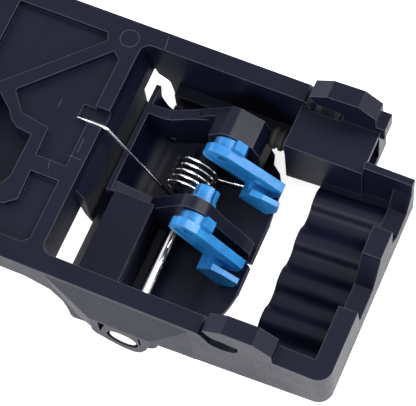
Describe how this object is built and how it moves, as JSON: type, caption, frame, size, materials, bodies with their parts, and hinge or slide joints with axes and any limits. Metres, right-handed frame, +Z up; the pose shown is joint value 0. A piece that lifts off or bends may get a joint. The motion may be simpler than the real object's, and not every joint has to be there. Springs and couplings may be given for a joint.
{
  "type": "latch release handle",
  "caption": "Sprung release handle: a swinging paddle with two snap-in rod clips in a deep housing with a finger-grooved grip.",
  "frame": {"origin": "under the middle of the housing, at the height of the lowest points of the shaft bosses", "axes": "+X along the housing to the grip end, +Y along the pivot shaft to its retaining ring, +Z up to the rim that bolts against the carrier"},
  "size_m": [0.232, 0.1404, 0.0684],
  "materials": {
    "black_plastic": "satin",
    "blue_plastic": "satin",
    "steel": "polished",
    "black_rubber": "matte"
  },
  "bodies": {
    "housing": {"housing": "black_plastic", "pivot_shaft": "steel", "shaft_retainer": "steel", "rubber_stop": "black_rubber", "return_spring": "steel"},
    "paddle": {"paddle": "black_plastic"},
    "front_clip": {"front_rod_clip": "blue_plastic"},
    "back_clip": {"back_rod_clip": "blue_plastic"}
  },
  "joints": [
    {"name": "paddle_swing", "type": "hinge", "parent": "housing", "child": "paddle", "pos_m": [0.0161, 0, 0.016], "axis": [0, -1, 0], "range_deg": [0, 24], "stiffness_Nm_per_rad": 0.156, "springref_deg": -45.84, "deforming": ["return_spring"]},
    {"name": "front_clip_turn", "type": "hinge", "parent": "paddle", "child": "front_clip", "pos_m": [0.0289, 0, 0.042], "axis": [0, -1, 0], "range_deg": [0, 90]},
    {"name": "back_clip_turn", "type": "hinge", "parent": "paddle", "child": "back_clip", "pos_m": [0.0289, 0, 0.042], "axis": [0, -1, 0], "range_deg": [0, 90]}
  ]
}
